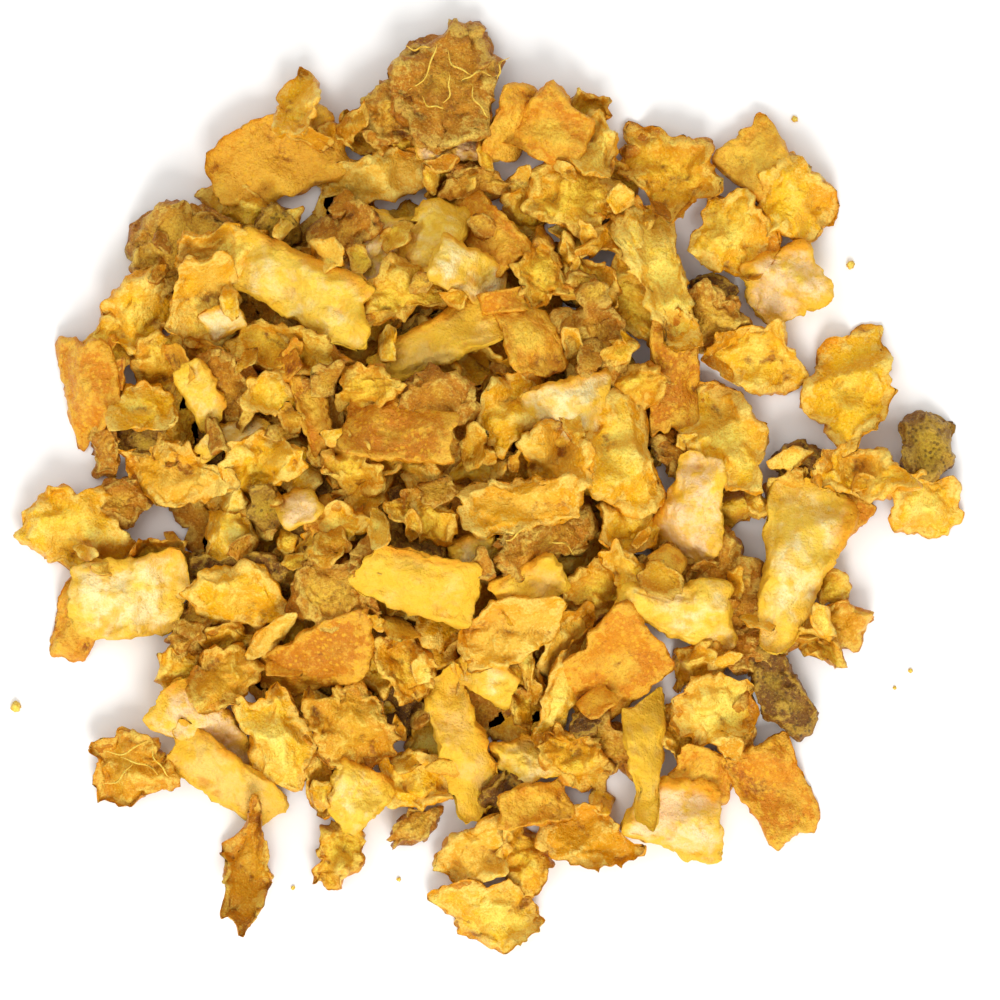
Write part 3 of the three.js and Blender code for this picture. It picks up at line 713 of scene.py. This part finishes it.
def finish_piece(name, piece):
    """Turns a bmesh in layout millimetres into an object in metres that rides with the heap."""
    bmesh.ops.translate(piece, verts=piece.verts, vec=HEAP_SHIFT)
    bmesh.ops.scale(piece, verts=piece.verts, vec=(MM, MM, MM))
    bmesh.ops.recalc_face_normals(piece, faces=piece.faces)
    piece.normal_update()
    # each point's slope, which the finishes use to paint shade on sloping faces
    slope_shade = piece.verts.layers.float["slope_shade"]
    for vert in piece.verts:
        vert[slope_shade] = 1 - vert.normal.z
    for face in piece.faces:
        face.smooth = True
    thing = add_mesh(name, piece)
    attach(thing, "root")
    print(name, len(thing.data.polygons), "faces")
    return thing


def new_piece():
    """An empty bmesh that can hold what is known of each point."""
    piece = bmesh.new()
    for name in FACTS:
        piece.verts.layers.float.new(name)
    return piece


# %% The chips on show
LARGE_LENGTH = 4.6
FINE = 5  # how often the ball's triangles are split
MIDDLING = 4
COARSE = 3
things = {}
for sort in SORTS:
    piece = new_piece()
    for chip in shown_chips:
        if chip["sort"] == sort:
            mould_chip(piece, chip, FINE if chip["length"] > LARGE_LENGTH else MIDDLING)
    things[sort] = finish_piece(sort + "_chips", piece)

# %% The chips and bits between them
buried_sorts = [sort for sort in SORTS if sort in INNER_SORTS + BIT_SORTS]
for sort in buried_sorts:
    piece = new_piece()
    for chip in inner_chips:
        if chip["sort"] == sort:
            mould_chip(piece, chip, MIDDLING)
    for bit in bits:
        if bit["sort"] == sort:
            mould_chip(piece, bit, COARSE)
    things["inner_" + sort] = finish_piece("inner_" + sort, piece)

# %% [markdown]
# ## What lies under them
#
# The heap is filled right through, so a plain low mound under the inner chips closes the last gaps. It is a
# ball pressed flat on its underside, with the mound's uneven foot.

# %% The filling of the heap
FILLING_REACH = 0.82  # how far it reaches, in reaches of the mound
FILLING_HEIGHT = 0.8  # how high it is, in heights of the mound
FILLING_SUNK = 0.9  # how much lower it lies still
FILLING_RIM = 0.3  # its lowest height
CRUMBLE_SIZE = 1.6
CRUMBLE_DEPTH = 0.5
piece = new_piece()
for vert in add_ball(piece, FINE):
    angle = math.atan2(vert.co.y, vert.co.x)
    x, y = core_place(FILLING_REACH * math.hypot(vert.co.x, vert.co.y), angle)
    crumble = CRUMBLE_DEPTH * noise.noise(Vector((x, y, 0)) / CRUMBLE_SIZE)
    top = max(FILLING_RIM, FILLING_HEIGHT * core_height(x, y) - FILLING_SUNK + crumble)
    vert.co = (x, y, top if vert.co.z > 0 else 0.0)
    vert[piece.verts.layers.float["tint"]] = 1.0
things["filling"] = finish_piece("heap_filling", piece)
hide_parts("peel_heap")

# %% [markdown]
# ## Strands and crumbs
#
# Dried flesh leaves thin pale strands on a few chips, and cutting leaves crumbs around the heap. A strand
# is a ball drawn out long and bent, and lies on whatever the pile has at its middle.

# %% Strands
STRANDS = [  # the middle, the length, the turn and how far its ends are bent aside
    (-4.9, 28.9, 3.9, 62, .5), (-5.4, 30.4, 1.8, 5, .2), (-2.6, 29.2, 2.6, -40, .5),
    (-1.4, 28.4, 2.2, 15, -.4), (-3.4, 27.4, 2.4, 80, .4), (-1.2, 26.6, 2.6, -60, .3),
    (-4.4, 26.4, 1.8, -20, .4), (0.4, 29.0, 1.8, 70, -.3), (-25.6, -18.3, 3.2, 20, .5),
    (-24.6, -19.6, 3.4, -25, -.4), (-26.2, -20.2, 2.6, 40, .4), (-23.4, -19.2, 2.6, -60, .3),
    (1.2, -3.4, 2.4, 30, .4), (4.4, -4.2, 2.4, -20, -.4),
]
STRAND_HALF = 0.07  # half its thickness
STRAND_WAVE = 0.12  # how far it wavers
STRAND_CLEAR = 0.1  # how far above the pile its middle lies
STRAND_DROOP = 0.3  # how much lower its ends lie
THREAD_CREST = 0.6  # strands and crumbs are a little paler than the chips
piece = new_piece()
for x, y, length, turn, bend in STRANDS:
    for vert in add_ball(piece, COARSE):
        along = 0.5 * length * vert.co.x
        wave = STRAND_WAVE * math.sin(5 * vert.co.x)
        across = STRAND_HALF * vert.co.y + bend * (vert.co.x**2 - 0.5) + wave
        up = height_at(x, y) + STRAND_CLEAR + STRAND_HALF * vert.co.z - STRAND_DROOP * vert.co.x**2
        dx, dy = turned(along, across, math.radians(turn))
        vert.co = (x + dx, y + dy, up)
        vert[piece.verts.layers.float["crest"]] = THREAD_CREST
        vert[piece.verts.layers.float["rim"]] = 0.6
things["strands"] = finish_piece("strands", piece)

# %% Crumbs on the floor
CRUMBS = [  # the middle and the size
    (-33.6, -15.5, .7), (24.8, 15.4, .55), (20.9, 25.6, .4), (24.1, -12.6, .45), (29, -13, .3),
    (27.9, -14.2, .25), (-21, -12.4, .5), (12.2, -24.8, .35), (-14.2, -28.2, .3), (16.4, 12.8, .35),
    (-6.8, -27.6, .3),
]
CRUMB_TINT = 0.3
CRUMB_MIDDLE = 0.3  # how high its middle lies, in sizes; what would be under the floor is flat
CRUMB_LUMPS = 0.5  # how uneven it is
piece = new_piece()
for x, y, size in CRUMBS:
    for vert in add_ball(piece, COARSE):
        swell = 0.5 * size * (1 + CRUMB_LUMPS * noise.noise(2 * vert.co + Vector((x, y, 0))))
        vert.co = Vector((x, y, CRUMB_MIDDLE * size)) + vert.co * swell
        vert.co.z = max(0.0, vert.co.z)
        vert[piece.verts.layers.float["crest"]] = THREAD_CREST
        vert[piece.verts.layers.float["tint"]] = CRUMB_TINT
things["crumbs"] = finish_piece("crumbs", piece)

# %% [markdown]
# ## Finishes
#
# A finish reads the points' own numbers. The tint picks the chip's colour between the palest and the
# deepest of its sort. The crest paints shade into crevices, which turns them browner, and a highlight onto
# ridges, which turns them paler. Colours are written as they look, from 0 to 255, and turned into amounts of
# light.

# %% Colour as amounts of light
def light_of(red, green, blue):
    """A screen colour as the linear amounts that a shader reads."""
    shares = [c / 255 for c in (red, green, blue)]
    return (*[s / 12.92 if s < 0.04045 else ((s + 0.055) / 1.055) ** 2.4 for s in shares], 1.0)


# %% Small helpers for node trees
GRAIN_SIZE = 0.2  # in millimetres, as are the dimples
DIMPLE_SIZE = 0.6
DIMPLE_DEPTH = 0.16
LIGHT_DEPTH = 0.4 * MM  # how far light goes into pith
LIGHT_DEPTHS = (1.0, 0.5, 0.15)  # red light goes deepest


class Finish:
    """A material whose nodes are added one call at a time."""

    def __init__(self, name):
        self.material = bpy.data.materials.new(name)
        self.material.use_nodes = True
        self.tree = self.material.node_tree
        self.shader = self.tree.nodes["Principled BSDF"]
        self.place = self.tree.nodes.new("ShaderNodeTexCoord").outputs["Object"]

    def fill(self, node, inputs):
        """Joins a node's inputs to other nodes, or sets them to plain values."""
        for name, value in inputs.items():
            if isinstance(value, bpy.types.NodeSocket):
                self.tree.links.new(value, node.inputs[name])
            else:
                node.inputs[name].default_value = value

    def add(self, kind, inputs, **settings):
        """Adds a node and gives its outputs."""
        node = self.tree.nodes.new(kind)
        for name, value in settings.items():
            setattr(node, name, value)
        self.fill(node, inputs)
        return node.outputs

    def fact(self, name):
        return self.add("ShaderNodeAttribute", {}, attribute_name=name)["Fac"]

    def cloud(self, size, detail=3.0, roughness=0.55):
        """Soft noise with blots of about that many millimetres."""
        inputs = {"Vector": self.place, "Scale": 1 / (size * MM), "Detail": detail, "Roughness": roughness}
        return self.add("ShaderNodeTexNoise", inputs)["Fac"]

    def uneven(self, size, detail=3.0, roughness=0.55):
        """The same noise, as much below 0 as above it."""
        return self.sum(self.cloud(size, detail, roughness), -0.5)

    def pores(self, size):
        """0 in the middle of each pore, rising to about 1 between them."""
        return self.add("ShaderNodeTexVoronoi", {"Vector": self.place, "Scale": 1 / (size * MM)})["Distance"]

    def between(self, value, low, high, most=1.0):
        """0 where the value is low, most where it is high, and smooth between."""
        inputs = {"Value": value, "From Min": low, "From Max": high, "To Max": most}
        return self.add("ShaderNodeMapRange", inputs, interpolation_type="SMOOTHSTEP")["Result"]

    def sum(self, first, second, share=1.0):
        """The first and a share of the second."""
        return self.add("ShaderNodeMath", {0: second, 1: share, 2: first}, operation="MULTIPLY_ADD")[0]

    def product(self, first, second):
        return self.add("ShaderNodeMath", {0: first, 1: second}, operation="MULTIPLY")[0]

    def mix(self, share, first, second):
        inputs = {"Factor": share, "A": first, "B": second}
        return self.add("ShaderNodeMix", inputs, data_type="RGBA")["Result"]

    def bump(self, height, depth, below=None):
        """Relief of that many millimetres, on top of another bump if one is given."""
        inputs = {"Height": height, "Distance": depth * MM}
        if below:
            inputs["Normal"] = below
        return self.add("ShaderNodeBump", inputs)["Normal"]

    def paint(self, ground, layers):
        """Lays colours over a ground colour, one after the other, each with the share that covers."""
        colour = light_of(*ground)
        for share, over in layers:
            colour = self.mix(share, colour, light_of(*over))
        self.fill(self.shader, {"Base Color": colour})

    def surface(self, gloss, shine, grain, scatter=0.0):
        """How rough and shiny it is, how deep its grain is, and how much light goes into it."""
        fine = self.bump(self.cloud(GRAIN_SIZE, 3, 0.7), grain)
        self.fill(self.shader, {
            "Roughness": gloss,
            "Specular IOR Level": shine,
            "Subsurface Weight": scatter,
            "Subsurface Radius": LIGHT_DEPTHS,
            "Subsurface Scale": LIGHT_DEPTH,
            "Normal": self.bump(self.cloud(DIMPLE_SIZE, 2, 0.6), DIMPLE_DEPTH, fine),
        })


# %% [markdown]
# All sorts but pith are painted by one function, because they differ only in their colours, their flecks,
# their gloss and their grain. The heart of a chip is paler than its rim, which dried first. Slopes are
# painted deeper in colour than level places, as painted shade where less light falls. Beads are clear oil
# glands, and flecks are the fine pores of the skin. Heart and body are the palest and the deepest colour of
# a face. The deep brown colours the deepest chips, and also serves as painted shade in low places, low on
# the wall and underneath. The crest colour is a painted highlight on high places and along the upper rim,
# and also gives fine pale specks.

# %% Colours of the sorts
COATS = {
    "gold": dict(heart=(246, 222, 92), body=(244, 190, 4), edge=(228, 148, 6), deep_brown_and_shade=(142, 70, 4),
                 crest=(246, 220, 108), fleck=(234, 164, 14), flecks=0.3, gloss=0.34, grain=0.16),
    "amber": dict(heart=(242, 206, 56), body=(231, 169, 8), edge=(208, 127, 8), deep_brown_and_shade=(122, 58, 4),
                  crest=(243, 212, 90), fleck=(206, 130, 12), flecks=0.3, gloss=0.34, grain=0.16),
    "rind": dict(heart=(244, 200, 66), body=(212, 128, 12), edge=(222, 140, 12), deep_brown_and_shade=(136, 58, 6),
                 crest=(240, 190, 60), fleck=(242, 182, 36), flecks=0.75, gloss=0.36, grain=0.2),
    "pulp": dict(heart=(230, 182, 52), body=(204, 136, 22), edge=(182, 108, 12), deep_brown_and_shade=(92, 44, 6),
                 crest=(238, 204, 88), fleck=(150, 84, 10), flecks=0.4, gloss=0.36, grain=0.22),
    "dark": dict(heart=(190, 152, 34), body=(110, 68, 20), edge=(142, 90, 18), deep_brown_and_shade=(42, 22, 8),
                 crest=(208, 166, 56), fleck=(46, 26, 12), flecks=0.6, gloss=0.4, grain=0.22),
}
SHINE = 0.3
print("coats for", ", ".join(COATS))

# %% [markdown]
# The two numbers after a value in `between` say where a colour starts to show and where it covers fully. A
# third one says how much it covers there, where that isn't all. Clouds mixed in, such as `wide`, make the
# border between two colours wander.

# %% Paint a sort
def peel_finish(name, coat):
    """The finish of one sort, from its colours."""
    f = Finish(name)
    wide = f.uneven(2.1, 5, 0.62)
    middling = f.uneven(1.1, 4, 0.65)
    small = f.uneven(0.5, 3, 0.7)
    speck = f.cloud(0.16, 2, 0.6)
    tint = f.fact("tint")
    blots = f.sum(f.sum(tint, wide, 2.2), f.fact("rim"), 0.6)
    slope_shade = f.sum(f.fact("slope_shade"), small, 0.6)
    side = f.sum(f.fact("skin"), wide, -2.0)
    rim = f.sum(f.fact("rim"), middling, 1.8)
    # a pale band along the upper rim and the top of the wall, used as a painted highlight
    rim_highlight = f.product(f.between(rim, 0.86, 0.98, 0.55), f.between(f.fact("rim"), 1.14, 1.02))
    crest = f.sum(f.fact("crest"), small, 1.5)
    pores = f.product(f.between(f.pores(0.42), 0.4, 0.2, coat["flecks"]), f.between(middling, -0.2, 0.05))
    f.paint(coat["heart"], [
        (f.between(blots, 0.4, 1.15), coat["body"]),
        # painted shade: slopes, which face away from the light above, turn towards the edge colour
        (f.between(slope_shade, 0.02, 0.5, 0.55), coat["edge"]),
        (f.between(tint, 0.7, 1.05, 0.35), coat["deep_brown_and_shade"]),
        (f.between(side, 0.1, 1.1, 0.6), coat["edge"]),
        (f.between(rim, 0.6, 1.2, 0.65), coat["edge"]),
        # painted highlight: ridges and other high places turn paler
        (f.between(crest, 0.6, 1.1, 0.75), coat["crest"]),
        # painted highlight along the upper rim
        (rim_highlight, coat["crest"]),
        # painted shade: the lower wall and the underside turn deep brown
        (f.between(rim, 1.2, 1.6, 0.5), coat["deep_brown_and_shade"]),
        (f.between(f.fact("gland"), 0.0, 1.0, 0.35), coat["edge"]),
        (f.between(speck, 0.5, 0.66, 0.5), coat["edge"]),
        (f.between(speck, 0.45, 0.3, 0.5), coat["crest"]),
        # painted shade: hollows turn deep brown
        (f.between(crest, 0.3, -0.3, 0.85), coat["deep_brown_and_shade"]),
        (pores, coat["fleck"]),
    ])
    f.surface(coat["gloss"], SHINE, coat["grain"])
    return f


finishes = {sort: peel_finish(sort + " peel", coat) for sort, coat in COATS.items()}
print(len(finishes), "finishes so far")

# %% [markdown]
# Pith needs a rule of its own. Its middle is cream, dry and matt, between white, straw yellow and a faint
# pink. Towards its rim and its skin side it turns golden, with round oil glands of about a millimetre.
# Slopes are painted golden and hollows browner, as painted shade.
# Light goes some way into anything as pale as that, so a share of it scatters below the surface.

# %% Paint the pith
CREAM = (248, 226, 160)
STRAW = (246, 206, 76)
PEACH = (250, 212, 154)
GOLDEN = (238, 184, 42)
SKIN = (230, 156, 28)
# the colour of the painted shade in the pith's hollows
CREVICE_SHADE = (208, 132, 28)


def pith_finish():
    """The finish of the pith."""
    f = Finish("cream pith")
    wide = f.uneven(2.0, 4)
    blots = f.uneven(1.2, 4)
    small = f.uneven(0.8, 3)
    tint = f.sum(f.fact("tint"), wide, 1.8)
    slope_shade = f.sum(f.fact("slope_shade"), small)
    rim = f.sum(f.fact("rim"), blots, 1.4)
    side = f.sum(f.fact("skin"), wide, -1.2)
    crest = f.sum(f.fact("crest"), small, 0.8)
    f.paint(CREAM, [
        (f.between(tint, 0.1, 0.6), STRAW),
        (f.between(tint, 0.6, 0.95), PEACH),
        # painted shade: slopes, which face away from the light above, turn golden
        (f.between(slope_shade, 0.1, 0.7, 0.7), GOLDEN),
        (f.between(rim, 0.65, 1.15, 0.85), GOLDEN),
        (f.between(side, 0.5, 0.95), SKIN),
        (f.between(blots, 0.02, 0.16, 0.65), GOLDEN),
        (f.between(f.cloud(0.17, 2, 0.6), 0.5, 0.66, 0.35), GOLDEN),
        (f.between(f.fact("gland"), 0.0, 1.0, 0.75), GOLDEN),
        # painted shade: hollows turn golden brown
        (f.between(crest, 0.25, -0.25, 0.7), CREVICE_SHADE),
    ])
    f.surface(gloss=0.55, shine=0.2, grain=0.17, scatter=0.16)
    return f


finishes["pith"] = pith_finish()
print(len(finishes), "finishes in all")

# %% Put the finishes on
wears = {"filling": "pulp", "strands": "gold", "crumbs": "gold"}
wears.update({sort: sort for sort in SORTS})
wears.update({"inner_" + sort: sort for sort in buried_sorts})
for name, finish in wears.items():
    things[name].data.materials.append(finishes[finish].material)
print(len(wears), "pieces painted")

# %% [markdown]
# ## Floor, light and camera
#
# The heap lies on bright white paper and is seen from straight above. One large soft light stands low at
# the near side, so every chip throws a short soft shadow away from the camera's lower edge, and the white
# surroundings fill the shadows.

# %% Floor
FLOOR_HALF = 0.6  # half its side, in metres
PAPER = (0.93, 0.925, 0.91, 1)
sheet = bmesh.new()
bmesh.ops.create_grid(sheet, x_segments=1, y_segments=1, size=FLOOR_HALF)
floor = add_mesh("floor", sheet)
paper = Finish("white paper")
paper.fill(paper.shader, {"Base Color": PAPER, "Roughness": 0.9, "Specular IOR Level": 0.1})
floor.data.materials.append(paper.material)

# %% Light
ROOM_LIGHT = 0.82
world = bpy.data.worlds.new("white room")
bpy.context.scene.world = world
world.use_nodes = True
background = world.node_tree.nodes["Background"].inputs
background["Color"].default_value = (1, 1, 1, 1)
background["Strength"].default_value = ROOM_LIGHT


def soft_light(name, place, size, power):
    """A square light that looks at the heap."""
    lamp = bpy.data.lights.new(name, "AREA")
    lamp.shape = "SQUARE"
    lamp.size = size
    lamp.energy = power
    holder = add_object(name, lamp)
    holder.location = place
    holder.rotation_euler = (-Vector(place)).to_track_quat("-Z", "Y").to_euler()


soft_light("window", place=(0.05, -0.42, 0.42), size=0.26, power=2.5)
soft_light("fill", place=(-0.25, 0.1, 0.6), size=0.3, power=0.5)

# %% Camera
FRAME_WIDTH = 70 * MM
FRAME_MIDDLE = (0.73 * MM, -0.99 * MM)
CAMERA_HEIGHT = 0.45
SENSOR_WIDTH = 36
camera = bpy.data.cameras.new("overhead")
camera.sensor_width = SENSOR_WIDTH
camera.lens = SENSOR_WIDTH * CAMERA_HEIGHT / FRAME_WIDTH
camera.clip_start = 0.01
holder = add_object("overhead", camera)
holder.location = (*FRAME_MIDDLE, CAMERA_HEIGHT)
bpy.context.scene.camera = holder
bpy.context.scene.view_settings.view_transform = "Standard"
